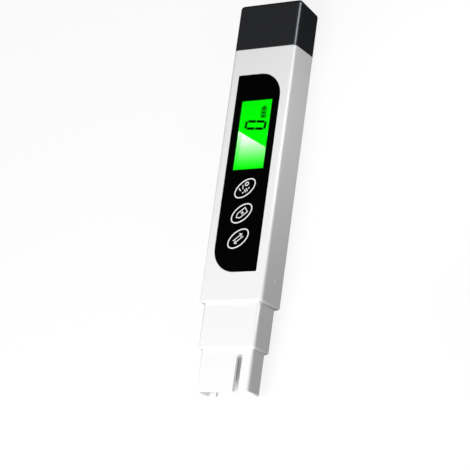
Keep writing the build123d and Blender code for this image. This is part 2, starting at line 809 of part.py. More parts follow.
# Straps from the board: up behind the tray and forward over one cell each
strap_top = strap_bottom + contact_thickness
step_bottom = strap_top + contact_lift
cells_meet = (inner_cell_mid + outer_cell_mid) / 2
positive_route = (
    (contact_back, board_top),
    (contact_back + contact_thickness, board_top),
    (contact_back + contact_thickness, strap_bottom),
    (inner_cell_mid, strap_bottom),
    (inner_cell_mid, strap_top),
    (contact_back, strap_top),
)
negative_route = (
    (contact_back, board_top),
    (contact_back + contact_thickness, board_top),
    (contact_back + contact_thickness, step_bottom),
    (cells_meet, step_bottom),
    (cells_meet + contact_width, strap_bottom),
    (outer_cell_mid, strap_bottom),
    (outer_cell_mid, strap_top),
    (cells_meet + contact_width, strap_top),
    (cells_meet, step_bottom + contact_thickness),
    (contact_back, step_bottom + contact_thickness),
)
for name, x, route in zip(
    ("positive_contact", "negative_contact"), contact_places, (positive_route, negative_route)
):
    with BuildPart() as strap:
        with BuildSketch(Plane.YZ.offset(x - contact_width / 2)):
            with BuildLine():
                Polyline(*route, close=True)
            make_face()
        extrude(amount=contact_width)
        with BuildSketch(Plane.XY.offset(board_bottom - contact_pin_stand_out)):
            with Locations((x, contact_back + contact_thickness / 2)):
                Rectangle(contact_pin_width, contact_thickness)
        extrude(amount=board_thickness + contact_pin_stand_out)
    save(strap, name)

# Chips and small parts on the back of the board
with BuildPart() as meter_chip:
    with BuildSketch(Plane.XY.offset(board_bottom - meter_chip_height)):
        with Locations((0, display_mid)):
            Rectangle(meter_chip_size, meter_chip_size)
    extrude(amount=meter_chip_height)
save(meter_chip, "meter_chip")

with BuildPart() as amplifier_chip:
    with BuildSketch(Plane.XY.offset(board_bottom - amplifier_height)):
        with Locations((0, rim + amplifier_above_rim)):
            Rectangle(amplifier_width, amplifier_length)
    extrude(amount=amplifier_height)
save(amplifier_chip, "amplifier_chip")

with BuildPart() as crystal:
    with BuildSketch(across(display_mid + meter_chip_size / 2 + crystal_gap + crystal_length)):
        with Locations((board_width / 2 - crystal_from_edge, board_bottom - crystal_diameter / 2)):
            Circle(crystal_diameter / 2)
    extrude(amount=crystal_length)
save(crystal, "crystal")

for name, count, station in (
    ("chip_capacitors", capacitor_count, rim + amplifier_above_rim + amplifier_length),
    ("chip_resistors", resistor_count, rim + amplifier_above_rim - amplifier_length),
):
    with BuildPart() as row:
        with BuildSketch(Plane.XY.offset(board_bottom - chip_height)):
            with Locations((0, station)):
                with GridLocations(chip_pitch, 0, count, 1):
                    Rectangle(chip_width, chip_length)
        extrude(amount=chip_height)
    save(row, name)
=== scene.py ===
"""Looks for a pen meter of dissolved solids: finishes, printed marks, lit display and studio.

The file is laid out as an add-on and is run as a script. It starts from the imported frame, whose
solids stay where they are. Lengths are in metres. +Y runs up the pen to the battery cap, +Z out
of the display and +X to the display's right.
"""

import json
from math import cos, pi, radians, sin

import bpy
import numpy as np
from bpy.props import FloatProperty, FloatVectorProperty, PointerProperty, StringProperty
from mathutils import Matrix, Vector

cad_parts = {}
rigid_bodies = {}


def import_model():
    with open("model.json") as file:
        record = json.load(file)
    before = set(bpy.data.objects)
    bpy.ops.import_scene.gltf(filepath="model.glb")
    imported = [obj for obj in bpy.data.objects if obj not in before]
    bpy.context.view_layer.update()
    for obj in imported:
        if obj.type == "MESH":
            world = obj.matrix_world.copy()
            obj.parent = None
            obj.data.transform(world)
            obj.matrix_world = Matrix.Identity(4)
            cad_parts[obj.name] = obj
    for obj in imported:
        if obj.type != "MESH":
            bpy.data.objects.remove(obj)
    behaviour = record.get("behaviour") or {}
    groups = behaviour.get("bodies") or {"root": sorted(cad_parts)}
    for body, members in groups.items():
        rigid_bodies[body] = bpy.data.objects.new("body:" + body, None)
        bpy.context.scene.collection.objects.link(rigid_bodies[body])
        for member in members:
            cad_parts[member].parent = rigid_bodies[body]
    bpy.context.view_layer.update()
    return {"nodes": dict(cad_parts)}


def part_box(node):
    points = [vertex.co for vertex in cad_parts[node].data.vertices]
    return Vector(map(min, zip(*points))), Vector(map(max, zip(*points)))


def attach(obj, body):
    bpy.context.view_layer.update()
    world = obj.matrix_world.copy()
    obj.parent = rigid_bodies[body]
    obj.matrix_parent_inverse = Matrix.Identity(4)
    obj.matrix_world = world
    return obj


for spare in list(bpy.data.objects):
    bpy.data.objects.remove(spare)
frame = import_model()
nodes = frame["nodes"]

bl_info = {
    "name": "Pen meter looks",
    "version": (1, 0, 0),
    "blender": (4, 5, 0),
    "location": "View3D > Sidebar > Pen meter",
    "description": "Finishes, printed marks, lit display and studio for the packed pen meter",
    "category": "Object",
}

MM = 0.001
WHITE_LIGHT = (1.0, 1.0, 1.0)
COOL_LIGHT = (0.82, 0.91, 1.0)
KEY_BODIES = {
    "on_off_key": "on_off_button",
    "clear_key": "clear_button",
    "mode_key": "mode_button",
}


# Sizes and colours that a user may change


class MouldingSettings(bpy.types.PropertyGroup):
    """Colours and edges of the three outer mouldings and the front panel."""

    body_colour: StringProperty(
        name="Body colour", description="Housing and probe holder, sRGB hex", default="#F0F0F1"
    )
    cap_colour: StringProperty(
        name="Cap colour", description="Battery cap, sRGB hex", default="#252628"
    )
    film_colour: StringProperty(
        name="Film colour", description="Printed front panel and keys, sRGB hex", default="#020202"
    )
    edge_radius: FloatProperty(
        name="Edge radius",
        description="Rounding that the mould gives to an outer edge",
        default=0.2 * MM,
        min=0.02 * MM,
        max=0.4 * MM,
        unit="LENGTH",
        precision=5,
    )
    thin_edge_radius: FloatProperty(
        name="Thin edge radius",
        description="Rounding of the panel, the window and other thin pieces",
        default=0.06 * MM,
        min=0.01 * MM,
        max=0.15 * MM,
        unit="LENGTH",
        precision=5,
    )


class DisplaySettings(bpy.types.PropertyGroup):
    """The lit display and what it shows."""

    lit_colour: StringProperty(
        name="Lit colour", description="Lit display, sRGB hex", default="#00FA04"
    )
    lit_strength: FloatProperty(
        name="Lit strength", description="How strongly the display glows", default=0.95, min=0.0
    )
    segment_colour: StringProperty(
        name="Segment colour", description="Dark liquid crystal, sRGB hex", default="#061407"
    )
    segment_width: FloatProperty(
        name="Segment width",
        description="Width of one bar of the figure",
        default=1.0 * MM,
        unit="LENGTH",
        precision=5,
    )
    figure_place: FloatVectorProperty(
        name="Figure's place",
        description="Middle of the figure, from the window's middle",
        default=(-0.18 * MM, 4.45 * MM),
        size=2,
        unit="LENGTH",
        precision=5,
    )
    figure_size: FloatVectorProperty(
        name="Figure's size",
        description="Height of the figure, which runs along X, and its width along Y",
        default=(9.8 * MM, 3.95 * MM),
        size=2,
        unit="LENGTH",
        precision=5,
    )
    figure_turn: FloatProperty(
        name="Figure's turn",
        description="Turn of the figure from the X axis",
        default=radians(-4.8),
        subtype="ANGLE",
    )
    gauge_place: FloatVectorProperty(
        name="Gauge's place",
        description="Middle of the battery gauge, from the window's middle",
        default=(2.8 * MM, 9.55 * MM),
        size=2,
        unit="LENGTH",
        precision=5,
    )


class KeySettings(bpy.types.PropertyGroup):
    """White print on the three slanted keys."""

    ring_size: FloatVectorProperty(
        name="Ring size",
        description="Half length and half width of the printed oval, to the line's middle",
        default=(4.95 * MM, 2.9 * MM),
        size=2,
        unit="LENGTH",
        precision=5,
    )
    ring_line: FloatProperty(
        name="Ring line",
        description="Width of the printed oval's line",
        default=0.48 * MM,
        unit="LENGTH",
        precision=5,
    )
    slant: FloatProperty(
        name="Slant",
        description="Turn of each oval from the X axis",
        default=radians(36.5),
        subtype="ANGLE",
    )
    ink_colour: StringProperty(
        name="Ink colour", description="Printed ovals and signs, sRGB hex", default="#F4F4F4"
    )


class StudioSettings(bpy.types.PropertyGroup):
    """Camera, lamps and backdrop."""

    camera_place: FloatVectorProperty(
        name="Camera's place",
        description="Where the camera stands",
        default=(424.95 * MM, -240.24 * MM, 638.10 * MM),
        size=3,
        unit="LENGTH",
    )
    camera_turn: FloatVectorProperty(
        name="Camera's turn",
        description="Rotation vector from the camera's own axes to the world",
        default=(0.317871, 0.574977, 0.047598),
        size=3,
        precision=6,
    )
    camera_lens: FloatProperty(
        name="Lens",
        description="Focal length in millimetres on a 36 mm frame",
        default=158.19,
        unit="CAMERA",
    )
    sky_level: FloatProperty(
        name="Sky level", description="Even light from all sides", default=0.36, min=0.0
    )
    key_power: FloatProperty(
        name="Key power",
        description="Watts of the large soft lamp above",
        default=1.42,
        min=0.0,
        unit="POWER",
    )
    side_power: FloatProperty(
        name="Side power",
        description="Watts of the soft lamp at the right",
        default=0.042,
        min=0.0,
        unit="POWER",
    )
    mouth_power: FloatProperty(
        name="Mouth power",
        description="Watts of the lamp that shines into the probe",
        default=0.03,
        min=0.0,
        unit="POWER",
    )
    edge_power: FloatProperty(
        name="Edge power",
        description="Watts of the lamp that the long edges mirror",
        default=4.0,
        min=0.0,
        unit="POWER",
    )
    glare_level: FloatProperty(
        name="Glare level", description="Radiance of the lamp that the window mirrors", default=21.0
    )
    glare_edge: FloatVectorProperty(
        name="Glare's edge",
        description="Ends (x, y, x, y) of the mirrored lamp's edge, from the window's middle",
        default=(-6.8 * MM, 1.88 * MM, 6.58 * MM, -5.62 * MM),
        size=4,
        unit="LENGTH",
        precision=5,
    )
    glare_fade: FloatVectorProperty(
        name="Glare's fade",
        description="Heights where the glare is gone and full, from the window's middle",
        default=(-14.35 * MM, 2.65 * MM),
        size=2,
        unit="LENGTH",
        precision=5,
    )


# Node and mesh tools


def linear(hex_code):
    """Linear RGBA of an sRGB hex colour.

    A small channel c gives c / 12.92, and any other ((c + 0.055) / 1.055) ** 2.4.
    """
    srgb = np.array([int(hex_code[i : i + 2], 16) for i in (1, 3, 5)]) / 255
    lin = np.where(srgb <= 0.04045, srgb / 12.92, ((srgb + 0.055) / 1.055) ** 2.4)
    return (*(float(c) for c in lin), 1.0)


def add_node(tree, kind, settings=None, links=None):
    """Adds a node, gives its properties and sockets their values and links its inputs."""
    node = tree.nodes.new(kind)
    for name, value in (settings or {}).items():
        if isinstance(name, str) and hasattr(node, name):
            setattr(node, name, value)
        else:
            node.inputs[name].default_value = value
    for name, source in (links or {}).items():
        tree.links.new(source, node.inputs[name])
    return node


def new_material(name, **sockets):
    """A material with one Principled shader, whose uniform values are set on its own sockets."""
    material = bpy.data.materials.new(name)
    material.use_nodes = True
    tree = material.node_tree
    tree.nodes.clear()
    shader = add_node(tree, "ShaderNodeBsdfPrincipled", sockets)
    add_node(tree, "ShaderNodeOutputMaterial", links={"Surface": shader.outputs["BSDF"]})
    return material, tree, shader


def grained(name, low, high, rough, grain, height, stretch=(1, 1, 1), **sockets):
    """A skin whose colour, gloss and height follow one noise of a real grain size.

    low and high are near colours, rough the two ends of its roughness, grain the size of one
    grain, height its depth, and stretch lengthens the grain along the axes where it is below 1.
    A real grain finer than about 0.1 mm wouldn't show, so it is given a coarser size here.
    """
    material, tree, shader = new_material(name, **sockets)
    place = add_node(tree, "ShaderNodeTexCoord").outputs["Object"]
    stretched = add_node(tree, "ShaderNodeMapping", {"Scale": stretch}, {"Vector": place})
    noise = add_node(
        tree,
        "ShaderNodeTexNoise",
        {"Scale": 1 / grain, "Detail": 2.0},
        {"Vector": stretched.outputs["Vector"]},
    ).outputs["Fac"]
    tint = add_node(
        tree, "ShaderNodeMix", {"data_type": "RGBA", 6: linear(low), 7: linear(high)}, {0: noise}
    )
    tree.links.new(tint.outputs[2], shader.inputs["Base Color"])
    gloss = add_node(
        tree, "ShaderNodeMapRange", {"To Min": rough[0], "To Max": rough[1]}, {"Value": noise}
    )
    tree.links.new(gloss.outputs["Result"], shader.inputs["Roughness"])
    bump = add_node(
        tree, "ShaderNodeBump", {"Strength": 0.5, "Distance": height}, {"Height": noise}
    )
    tree.links.new(bump.outputs["Normal"], shader.inputs["Normal"])
    return material


def dress(material, *names):
    """Gives the named CAD nodes this material in every slot."""
    for name in names:
        for slot in nodes[name].material_slots:
            slot.material = material


def soften(radius, *names):
    """Welds the loose triangles of the named CAD nodes, clears flat seams and rounds the edges."""
    weld_distance = 0.001 * MM
    flat_angle, sharp_angle = radians(0.5), radians(35)
    for name in names:
        weld = nodes[name].modifiers.new("weld", "WELD")
        weld.merge_threshold = weld_distance
        flats = nodes[name].modifiers.new("flats", "DECIMATE")
        flats.decimate_type = "DISSOLVE"
        flats.angle_limit = flat_angle
        bevel = nodes[name].modifiers.new("soft edges", "BEVEL")
        bevel.width = radius
        bevel.segments = 3
        bevel.limit_method = "ANGLE"
        bevel.angle_limit = sharp_angle
        bevel.harden_normals = True


def ribbon(path, width, low, high, closed=False):
    """Points and faces of a flat strip that follows a path in plan, between two levels.

    A point is path + side * half width * mitre, where mitre is the sum of the two neighbouring
    runs' normals over 1 plus their dot product, so the strip keeps its width round a corner.
    """
    path = np.asarray(path, float)
    half = np.broadcast_to(np.asarray(width, float) / 2, len(path))[:, None]
    runs = np.roll(path, -1, 0) - path
    if not closed:
        runs[-1] = runs[-2]
    normals = np.stack([-runs[:, 1], runs[:, 0]], 1)
    normals /= np.linalg.norm(normals, axis=1, keepdims=True)
    before = np.roll(normals, 1, 0)
    if not closed:
        before[0] = normals[0]
    mitre = (before + normals) / (1 + (before * normals).sum(1, keepdims=True))
    left, right = path + mitre * half, path - mitre * half
    rings = np.stack(
        [np.insert(side, 2, level, axis=1) for side, level in
         ((right, low), (right, high), (left, high), (left, low))], 1
    )
    count = len(path)
    here = np.arange(count if closed else count - 1)
    ahead = (here + 1) % count
    corner = np.arange(4)
    beside = (corner + 1) % 4
    quads = np.stack(
        [
            here[:, None] * 4 + corner,
            ahead[:, None] * 4 + corner,
            ahead[:, None] * 4 + beside,
            here[:, None] * 4 + beside,
        ],
        -1,
    ).reshape(-1, 4)
    if not closed:
        quads = np.vstack([quads, corner, (count - 1) * 4 + corner[::-1]])
    return rings.reshape(-1, 3), quads


def arc(radii, start, end, count):
    """Points of an ellipse's arc: (a cos t, b sin t), with t from start to end in degrees."""
    turn = np.radians(np.linspace(start, end, count))
    return np.stack([radii[0] * np.cos(turn), radii[1] * np.sin(turn)], 1)


def turned(points, angle, middle):
    """Plan points turned by an angle and moved to a middle."""
    turn = np.array([[cos(angle), sin(angle)], [-sin(angle), cos(angle)]])
    return np.asarray(points, float) @ turn + np.asarray(middle, float)


def new_piece(name, strips, material, body):
    """One mesh from several strips, which rides on a body and takes its finish from a slot."""
    points, faces, base = [], [], 0
    for strip_points, strip_faces in strips:
        points.append(strip_points)
        faces.append(strip_faces + base)
        base += len(strip_points)
    mesh = bpy.data.meshes.new(name)
    mesh.from_pydata(np.vstack(points), [], np.vstack(faces).tolist())
    mesh.validate()
    mesh.materials.append(material)
    piece = bpy.data.objects.new(name, mesh)
    bpy.context.scene.collection.objects.link(piece)
    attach(piece, body)
    return piece


def new_card(name, middle, half, material, upwards=True):
    """A square card for the stage, level and facing up or down."""
    corners = np.array([(-1, -1, 0), (1, -1, 0), (1, 1, 0), (-1, 1, 0)]) * half
    mesh = bpy.data.meshes.new(name)
    mesh.from_pydata(
        corners + np.asarray(middle, float), [], [(0, 1, 2, 3) if upwards else (0, 3, 2, 1)]
    )
    mesh.materials.append(material)
    card = bpy.data.objects.new(name, mesh)
    bpy.context.scene.collection.objects.link(card)
    return card


# The mouldings, the film and the window


class PENMETER_OT_mouldings(bpy.types.Operator):
    """Gives the housing, probe holder and battery cap their moulded plastic and soft edges"""

    bl_idname = "pen_meter.mouldings"
    bl_label = "Mouldings"

    def execute(self, context):
        settings = context.scene.pen_mouldings
        # White ABS from a finely polished mould: even, bright, with a soft broad shine.
        white = grained(
            "white moulded ABS",
            settings.body_colour,
            "#EDEDEE",
            (0.30, 0.36),
            0.9 * MM,
            0.002 * MM,
            IOR=1.53,
        )
        # Black ABS from a spark-eroded mould: charcoal, finely rough, with a soft grey shine.
        black = grained(
            "black spark-textured ABS",
            settings.cap_colour,
            "#2A2B2E",
            (0.30, 0.38),
            0.45 * MM,
            0.012 * MM,
            IOR=1.53,
        )
        dress(white, "housing", "probe_holder")
        dress(black, "battery_cap")
        soften(settings.edge_radius, "housing", "probe_holder", "battery_cap")
        return {"FINISHED"}


class PENMETER_OT_panel(bpy.types.Operator):
    """Gives the front panel its printed film, the tape under it and the clear window"""

    bl_idname = "pen_meter.panel"
    bl_label = "Front panel and window"

    def execute(self, context):
        settings = context.scene.pen_mouldings
        # Polycarbonate film screen printed black on its back: a deep black with hardly any glare.
        film = grained(
            "black printed polycarbonate film",
            settings.film_colour,
            "#040404",
            (0.36, 0.44),
            0.5 * MM,
            0.001 * MM,
            **{"IOR": 1.5, "Specular IOR Level": 0.03},
        )
        # Clear acrylic tape: a dull cream edge under the film.
        tape = grained(
            "acrylic tape", "#BDB59B", "#C9C2AA", (0.5, 0.6), 0.4 * MM, 0.002 * MM, IOR=1.47
        )
        # Polished acrylic: clear, with a faint green body and a sharp mirror.
        haze_size = 2 * MM
        clear, tree, shader = new_material(
            "clear polished acrylic",
            **{"Transmission Weight": 1.0, "IOR": 1.49, "Base Color": linear("#FDFFFD")},
        )
        place = add_node(tree, "ShaderNodeTexCoord").outputs["Object"]
        haze = add_node(
            tree, "ShaderNodeTexNoise", {"Scale": 1 / haze_size}, {"Vector": place}
        ).outputs["Fac"]
        gloss = add_node(
            tree, "ShaderNodeMapRange", {"To Min": 0.0, "To Max": 0.02}, {"Value": haze}
        )
        tree.links.new(gloss.outputs["Result"], shader.inputs["Roughness"])
        dress(film, "graphic_overlay", "on_off_key", "clear_key", "mode_key")
        dress(tape, "overlay_adhesive")
        dress(clear, "display_window")
        soften(settings.thin_edge_radius, "graphic_overlay", "display_window")
        soften(settings.thin_edge_radius, *KEY_BODIES)
        return {"FINISHED"}


# The display


def lit_film(settings):
    """Glowing film: the green is strongest beside the lamps, at the display's lower end."""
    material, tree, shader = new_material(
        "polarising film over a green backlight",
        **{
            "Base Color": linear("#008A00"),
            "Roughness": 0.4,
            "IOR": 1.48,
            "Specular IOR Level": 0.1,
        },
    )
    far_share = 0.93
    low, high = (corner.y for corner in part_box("lcd_front_polariser"))
    place = add_node(tree, "ShaderNodeTexCoord").outputs["Object"]
    along = add_node(tree, "ShaderNodeSeparateXYZ", links={"Vector": place}).outputs["Y"]
    spread = add_node(
        tree,
        "ShaderNodeMapRange",
        {
            "From Min": low,
            "From Max": high,
            "To Min": settings.lit_strength,
            "To Max": settings.lit_strength * far_share,
        },
        {"Value": along},
    )
    shader.inputs["Emission Color"].default_value = linear(settings.lit_colour)
    tree.links.new(spread.outputs["Result"], shader.inputs["Emission Strength"])
    return material


def bar(start, end, width, level):
    """One bar of the figure: a strip that narrows to a blunt tip at each end."""
    tip = 0.6 * width
    start, end = np.asarray(start, float), np.asarray(end, float)
    along = (end - start) / np.linalg.norm(end - start)
    taper = along * width / 4
    path = [start, start + taper, end - taper, end]
    return ribbon(path, [tip, width, width, tip], *level)


def plan_middle(name):
    """The middle of a CAD node's box in plan."""
    low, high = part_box(name)
    return np.array([low.x + high.x, low.y + high.y]) / 2


class PENMETER_OT_display(bpy.types.Operator):
    """Lights the display and draws its figure and battery gauge in dark liquid crystal"""

    bl_idname = "pen_meter.display"
    bl_label = "Display"

    def execute(self, context):
        settings = context.scene.pen_display
        lit = lit_film(settings)
        dress(lit, "lcd_front_polariser", "lcd_rear_polariser")
        # Liquid crystal turned dark by its field: a near black green, flat and without shine.
        dark = grained(
            "darkened liquid crystal",
            settings.segment_colour,
            "#081A0A",
            (0.6, 0.7),
            0.3 * MM,
            0.0005 * MM,
            **{"IOR": 1.5, "Specular IOR Level": 0.05},
        )
        # the marks float just over the film, and are as thin as its own layers
        mark_lift, mark_thickness = 0.005 * MM, 0.03 * MM
        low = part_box("lcd_front_polariser")[1].z + mark_lift
        level = (low, low + mark_thickness)
        middle = plan_middle("display_window")
        centre = middle + settings.figure_place
        half_high, half_wide = np.array(settings.figure_size) / 2
        width, turn = settings.segment_width, settings.figure_turn
        half_gap = 0.16 * MM
        # the figure lies on its side: its sides run along X in two bars each
        strips = []
        for side in (-1, 1):
            for end in (-1, 1):
                start = (end * half_gap, side * (half_wide - width / 2))
                stop = (end * (half_high - width - half_gap), side * (half_wide - width / 2))
                strips.append(bar(*turned((start, stop), turn, centre), width, level))
        for end in (-1, 1):
            reach = half_wide - width / 2
            across = end * (half_high - width / 2)
            ends = turned(((across, -reach), (across, reach)), turn, centre)
            strips.append(bar(*ends, width, level))
        new_piece("display_figure", strips, dark, "meter_body")
        # a battery gauge stands where the unit is printed: a case, its pole and three cells
        centre = middle + settings.gauge_place
        case_line, pole_line, cell_line = 0.28 * MM, 0.45 * MM, 0.9 * MM
        case = np.array([(-1.0, -2.2), (1.0, -2.2), (1.0, 2.0), (-1.0, 2.0)]) * MM
        strips = [ribbon(centre + case, case_line, *level, closed=True)]
        pole = np.array([(-0.45, 2.4), (0.45, 2.4)]) * MM
        strips.append(ribbon(centre + pole, pole_line, *level))
        for step in (-1.45, -0.1, 1.25):
            cell = np.array([(-0.62, step), (0.62, step)]) * MM
            strips.append(ribbon(centre + cell, cell_line, *level))
        new_piece("display_gauge", strips, dark, "meter_body")
        return {"FINISHED"}


# The keys. A sign is a list of strips: points and line width in millimetres, and if it closes.

FINE_LINE = 0.36
BOLD_LINE = 0.42
RING_LINE = 0.4
CROSS_LINE = 0.34


def power_signs():
    """On and off as a bar, a stroke and a ring, over two short bars and two dashes for hold."""
    return [
        ([(-2.1, 0.35), (-2.1, 1.75)], BOLD_LINE, False),
        ([(-0.9, 0.35), (-0.1, 1.75)], FINE_LINE, False),
        (arc((0.78, 0.62), 0, 345, 24) + (1.55, 1.05), RING_LINE, True),
        ([(-0.5, -1.65), (-0.5, -0.35)], BOLD_LINE, False),
        ([(0.35, -1.65), (0.35, -0.35)], BOLD_LINE, False),
        ([(-2.0, -1.0), (-1.15, -1.0)], FINE_LINE, False),
        ([(1.0, -1.0), (1.85, -1.0)], FINE_LINE, False),
    ]


def clear_signs():
    """The erase sign: a tag that points left, with a cross in it."""
    return [
        ([(-2.7, 0.0), (-1.5, 1.1), (2.4, 1.1), (2.4, -1.1), (-1.5, -1.1)], FINE_LINE, True),
        ([(-0.2, -0.55), (0.95, 0.55)], CROSS_LINE, False),
        ([(-0.2, 0.55), (0.95, -0.55)], CROSS_LINE, False),
    ]


def mode_signs():
    """The change-over sign: one arrow to the right over one to the left."""
    return [
        ([(-2.3, 0.62), (2.2, 0.62)], FINE_LINE, False),
        ([(1.35, 1.35), (2.3, 0.62), (1.35, -0.11)], FINE_LINE, False),
        ([(2.3, -0.62), (-2.2, -0.62)], FINE_LINE, False),
        ([(-1.35, -1.35), (-2.3, -0.62), (-1.35, 0.11)], FINE_LINE, False),
    ]


class PENMETER_OT_keys(bpy.types.Operator):
    """Prints a white oval and a plain sign on each of the three slanted keys"""

    bl_idname = "pen_meter.keys"
    bl_label = "Key print"

    def execute(self, context):
        settings = context.scene.pen_keys
        # White pad-printed ink: opaque, dull and slightly uneven.
        ink = grained(
            "white pad-printed ink",
            settings.ink_colour,
            "#EAEAEA",
            (0.45, 0.6),
            0.25 * MM,
            0.002 * MM,
            IOR=1.5,
        )
        signs = {
            "on_off_key": power_signs(),
            "clear_key": clear_signs(),
            "mode_key": mode_signs(),
        }
        half_ink = 0.02 * MM
        for key, body in KEY_BODIES.items():
            middle = plan_middle(key)
            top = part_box(key)[1].z
            level = (top - half_ink, top + half_ink)
            oval = turned(arc(settings.ring_size, 0, 355, 72), settings.slant, middle)
            strips = [ribbon(oval, settings.ring_line, *level, closed=True)]
            new_piece(f"{key}_ring", strips, ink, body)
            strips = []
            for points, width, closed in signs[key]:
                placed = turned(np.asarray(points, float) * MM, settings.slant, middle)
                strips.append(ribbon(placed, width * MM, *level, closed=closed))
            new_piece(f"{key}_sign", strips, ink, body)
        return {"FINISHED"}


# What the probe end and the battery bay show


class PENMETER_OT_insides(bpy.types.Operator):
    """Finishes the electrodes, sensor, battery bay, circuit board and display stack"""

    bl_idname = "pen_meter.insides"
    bl_label = "Inner pieces"

    def execute(self, context):
        # Ground titanium: warm grey with fine grinding lines round the pin.
        dress(
            grained(
                "ground titanium alloy", "#8B8883", "#A5A29C", (0.24, 0.36), 0.12 * MM, 0.003 * MM,
                (1, 6, 1), Metallic=1.0,
            ),
            "left_electrode",
            "right_electrode",
        )
        # Drawn stainless steel: cooler and brighter, with lines along the tube.
        dress(
            grained(
                "drawn stainless steel", "#B9B9BA", "#CDCDCE", (0.18, 0.28), 0.12 * MM, 0.002 * MM,
                (1, 0.05, 1), Metallic=1.0,
            ),
            "sensor_sleeve",
            "switch_covers",
            "switch_domes",
            "crystal",
        )
        # Nickel-plated steel can: a soft bright metal with faint drawing marks.
        dress(
            grained(
                "nickel-plated steel", "#C6C5C1", "#DAD9D5", (0.14, 0.24), 0.5 * MM, 0.002 * MM,
                Metallic=1.0,
            ),
            "inner_cell",
            "outer_cell",
        )
        # Nickel-plated phosphor bronze: the same plating with a warmer cast.
        dress(
            grained(
                "plated phosphor bronze", "#C9C2AE", "#DCD5C0", (0.2, 0.3), 0.25 * MM, 0.002 * MM,
                (0.2, 1, 1), Metallic=1.0,
            ),
            "positive_contact",
            "negative_contact",
            "link_contact",
        )
        # Tin solder: bright and slightly pitted where it cooled.
        dress(
            grained(
                "tin solder", "#BDBDBC", "#D6D6D4", (0.2, 0.4), 0.3 * MM, 0.02 * MM, Metallic=1.0
            ),
            "solder_joints",
            "sensor_leads",
        )
        # Glass-filled nylon: dull black with short pale fibres near the skin.
        dress(
            grained(
                "glass-filled nylon", "#181818", "#242425", (0.5, 0.65), 0.3 * MM, 0.01 * MM,
                (1, 0.4, 1), IOR=1.53,
            ),
            "battery_tray",
            "switch_bases",
        )
        # Nitrile rubber: soft black, no shine.
        dress(
            grained(
                "nitrile rubber", "#101010", "#191919", (0.7, 0.85), 0.4 * MM, 0.01 * MM, IOR=1.52
            ),
            "probe_seal",
        )
        # Cast epoxy: dark, glossy and poured flat.
        dress(
            grained(
                "cast epoxy", "#1A1A1C", "#222225", (0.12, 0.2), 1.5 * MM, 0.01 * MM, IOR=1.55
            ),
            "potting_resin",
            "sensor_bead",
        )
        # Moulded chip epoxy: dull charcoal with fine filler.
        dress(
            grained(
                "moulded chip epoxy", "#202021", "#2B2B2C", (0.55, 0.7), 0.15 * MM, 0.004 * MM,
                IOR=1.55,
            ),
            "meter_chip",
            "amplifier_chip",
        )
        # Fired ceramic with tinned ends: tan and chalky.
        dress(
            grained(
                "fired ceramic", "#A98C6B", "#BBA07F", (0.5, 0.65), 0.2 * MM, 0.003 * MM, IOR=1.7
            ),
            "chip_capacitors",
            "chip_resistors",
        )
        # Natural nylon for the small inner mouldings: milky and slightly waxy.
        dress(
            grained(
                "natural nylon", "#DAD9D2", "#E4E3DD", (0.35, 0.45), 0.6 * MM, 0.004 * MM, IOR=1.53
            ),
            "on_off_plunger",
            "clear_plunger",
            "mode_plunger",
            "lcd_frame",
        )
        # White reflector film: bright, dull and even.
        dress(
            grained(
                "white reflector film", "#F0F2F0", "#F6F8F6", (0.3, 0.4), 1.0 * MM, 0.001 * MM,
                IOR=1.5,
            ),
            "reflector_film",
        )
        # Milky acrylic and the green lamps under it, with a soft shine: both are coloured pale
        # green all through, a painted glow of the lamps' green light.
        guide = grained(
            "milky acrylic with painted green glow", "#8FF08F", "#A0F5A0", (0.2, 0.3), 1.0 * MM, 0.002 * MM, IOR=1.49
        )
        dress(guide, "light_guide", "backlight_leds")
        dress(circuit_board_mask(), "circuit_board")
        dress(striped_rubber(), "zebra_strip")
        dress(display_glass(), "lcd_front_glass", "lcd_rear_glass")
        bay_edge_radius = 0.05 * MM
        soften(bay_edge_radius, "battery_tray", "inner_cell", "outer_cell")
        return {"FINISHED"}


def circuit_board_mask():
    """Green solder mask over copper tracks: raised lines, paler where copper lies below."""
    material, tree, shader = new_material(
        "green solder mask over copper", Roughness=0.28, IOR=1.55
    )
    place = add_node(tree, "ShaderNodeTexCoord").outputs["Object"]
    # tracks in blocks that step like a routed board
    track_width, track_pitch, block_length = 0.3 * MM, 1.27 * MM, 9.0 * MM
    copper_rise = 0.03 * MM
    tracks = add_node(
        tree,
        "ShaderNodeTexBrick",
        {
            "Scale": 1.0,
            "Mortar Size": track_width / 2,
            "Mortar Smooth": 0.2,
            "Brick Width": block_length,
            "Row Height": track_pitch,
            "Color1": linear("#0E5A2A"),
            "Color2": linear("#0B5025"),
            "Mortar": linear("#2E7D3E"),
        },
        {"Vector": place},
    )
    tree.links.new(tracks.outputs["Color"], shader.inputs["Base Color"])
    bump = add_node(
        tree,
        "ShaderNodeBump",
        {"Strength": 0.6, "Distance": copper_rise},
        {"Height": tracks.outputs["Fac"]},
    )
    tree.links.new(bump.outputs["Normal"], shader.inputs["Normal"])
    return material


def striped_rubber():
    """Silicone connector in stripes across the pen: dark carbon layers between pink ones.

    The stripes follow sin(pi x / layer), so one dark and one pink layer make a full wave.
    """
    layer = 0.2 * MM
    material, tree, shader = new_material("striped silicone", Roughness=0.6, IOR=1.41)
    place = add_node(tree, "ShaderNodeTexCoord").outputs["Object"]
    across = add_node(tree, "ShaderNodeSeparateXYZ", links={"Vector": place}).outputs["X"]
    wave = add_node(
        tree, "ShaderNodeMath", {"operation": "MULTIPLY", 1: pi / layer}, {0: across}
    )
    stripe = add_node(
        tree, "ShaderNodeMath", {"operation": "SINE"}, {0: wave.outputs["Value"]}
    ).outputs["Value"]
    level = add_node(
        tree, "ShaderNodeMapRange", {"From Min": -0.2, "From Max": 0.2}, {"Value": stripe}
    )
    tint = add_node(
        tree,
        "ShaderNodeMix",
        {"data_type": "RGBA", 6: linear("#2A2A2B"), 7: linear("#D9A8AE")},
        {0: level.outputs["Result"]},
    )
    tree.links.new(tint.outputs[2], shader.inputs["Base Color"])
    return material


